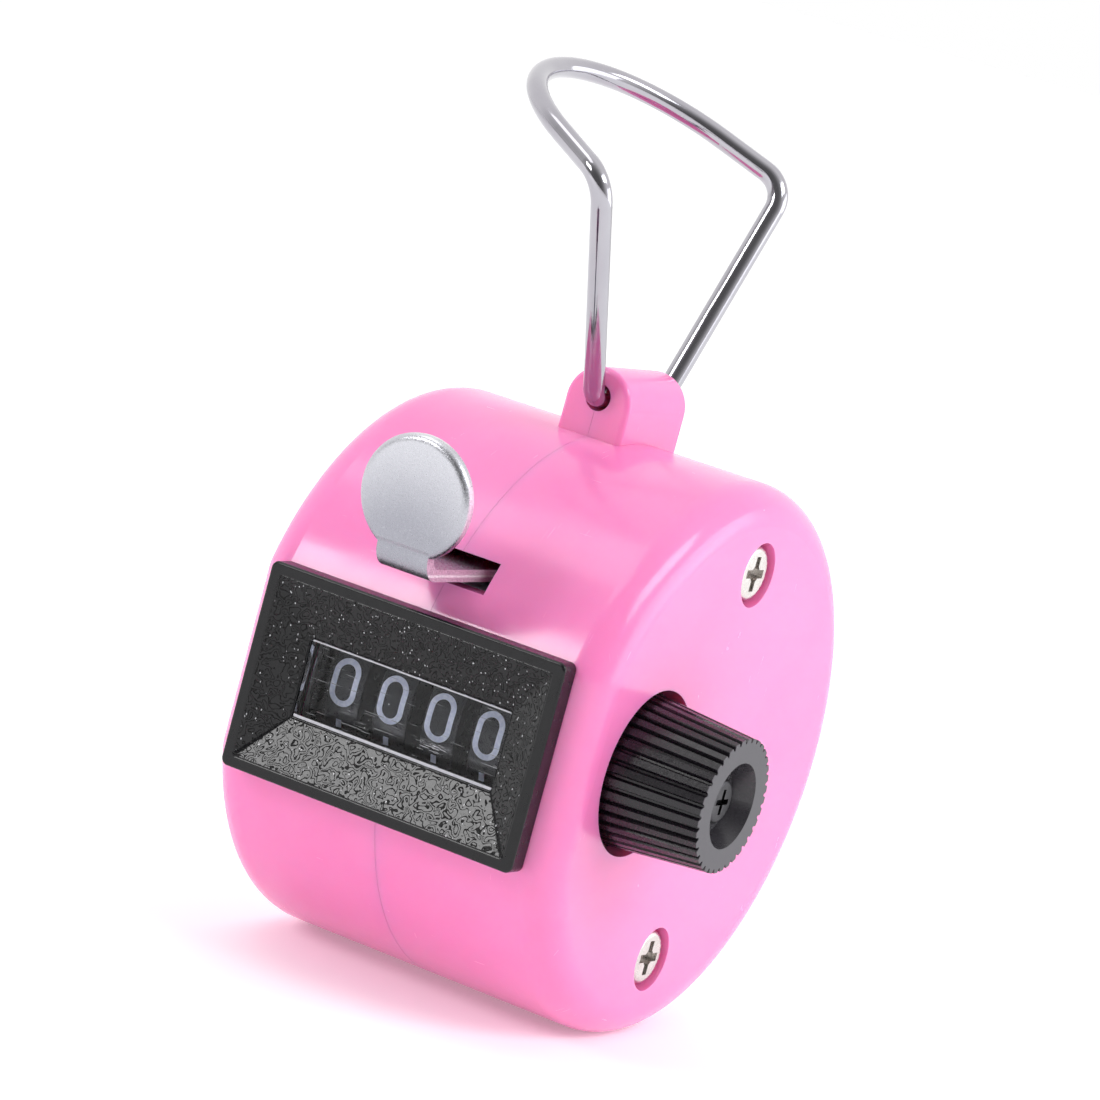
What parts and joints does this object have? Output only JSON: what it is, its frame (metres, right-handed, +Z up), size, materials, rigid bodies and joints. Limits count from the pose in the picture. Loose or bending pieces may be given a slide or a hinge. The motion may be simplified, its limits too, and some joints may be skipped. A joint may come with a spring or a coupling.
{
  "type": "hand tally counter",
  "caption": "Hand-held mechanical tally counter: drum-shaped plastic case with a window on four figure wheels, thumb lever, fluted reset knob and swinging wire finger ring.",
  "frame": {"origin": "centre of the drum-shaped case's flat left side face, on the case's own axis", "axes": "+X along the case's axis towards the reset knob, -Y out through the window, +Z up to the lug of the finger ring"},
  "size_m": [0.0391, 0.0512, 0.0725],
  "materials": {
    "body_plastic": "glossy moulded plastic, pink",
    "bezel_plastic": "black, smooth rim with pebbled sloping walls",
    "clear_plastic": "clear, lightly scratched",
    "knob_plastic": "black, satin",
    "wheel_plastic": "dark grey with light figures",
    "chromed_wire": "bright chrome plate",
    "satin_steel": "satin plated pressed steel, polished edge",
    "nickel_screw": "nickel plate",
    "black_screw": "blackened steel",
    "shaft_steel": "turned",
    "frame_steel": "pressed sheet",
    "spring_steel": "drawn wire and strip",
    "bush_brass": "turned",
    "washer_nylon": "natural nylon"
  },
  "bodies": {
    "case": {"housing_left": "body_plastic", "housing_right": "body_plastic", "case_screws": "nickel_screw", "bezel": "bezel_plastic", "window_lens": "clear_plastic", "frame_plate_left": "frame_steel", "frame_plate_right": "frame_steel", "frame_spacers": "shaft_steel", "frame_screws": "nickel_screw", "comb_bar": "frame_steel", "detent_comb": "spring_steel", "comb_screws": "nickel_screw", "shaft_bush_left": "bush_brass", "shaft_bush_right": "bush_brass", "lever_pin": "shaft_steel"},
    "ring": {"finger_ring": "chromed_wire"},
    "lever": {"thumb_lever": "satin_steel", "lever_spring": "spring_steel", "pawl_pin": "shaft_steel", "pawl_spring": "spring_steel"},
    "pawl": {"pawl_comb": "frame_steel"},
    "reset": {"reset_knob": "knob_plastic", "knob_screw": "black_screw", "reset_shaft": "shaft_steel", "shaft_clip": "spring_steel", "knob_washer": "washer_nylon", "wheel_spacer_left": "washer_nylon", "wheel_spacer_right": "washer_nylon"},
    "units": {"units_wheel": "wheel_plastic", "units_reset_pawl": "frame_steel"},
    "tens": {"tens_wheel": "wheel_plastic", "tens_reset_pawl": "frame_steel"},
    "hundreds": {"hundreds_wheel": "wheel_plastic", "hundreds_reset_pawl": "frame_steel"},
    "thousands": {"thousands_wheel": "wheel_plastic", "thousands_reset_pawl": "frame_steel"}
  },
  "joints": [
    {"name": "ring_swing", "type": "hinge", "parent": "case", "child": "ring", "pos_m": [0.01565, 0, 0.0254], "axis": [0, 1, 0], "range_deg": [-106, 103]},
    {"name": "lever_press", "type": "hinge", "parent": "case", "child": "lever", "pos_m": [0.01565, -0.0142, -0.0116], "axis": [-1, 0, 0], "range_deg": [0, 7.5], "stiffness_Nm_per_rad": 0.25, "deforming": ["lever_spring"]},
    {"name": "pawl_lift", "type": "hinge", "parent": "lever", "child": "pawl", "pos_m": [0.01565, -0.0143, 0.0096], "axis": [-1, 0, 0], "range_deg": [0, 10], "stiffness_Nm_per_rad": 0.005, "springref_deg": -5.73, "deforming": ["pawl_spring"]},
    {"name": "reset_turn", "type": "hinge", "parent": "case", "child": "reset", "pos_m": [0.01565, -0.01024, 0], "axis": [1, 0, 0], "continuous": true},
    {"name": "units_turn", "type": "hinge", "parent": "reset", "child": "units", "pos_m": [0.01565, -0.01024, 0], "axis": [-1, 0, 0], "continuous": true, "deforming": ["detent_comb"]},
    {"name": "tens_turn", "type": "hinge", "parent": "reset", "child": "tens", "pos_m": [0.01565, -0.01024, 0], "axis": [-1, 0, 0], "continuous": true, "deforming": ["detent_comb"]},
    {"name": "hundreds_turn", "type": "hinge", "parent": "reset", "child": "hundreds", "pos_m": [0.01565, -0.01024, 0], "axis": [-1, 0, 0], "continuous": true, "deforming": ["detent_comb"]},
    {"name": "thousands_turn", "type": "hinge", "parent": "reset", "child": "thousands", "pos_m": [0.01565, -0.01024, 0], "axis": [-1, 0, 0], "continuous": true, "deforming": ["detent_comb"]}
  ],
  "couplings": [
    {"joint": "units_turn", "follows": "lever_press", "ratio": 4.8}
  ]
}
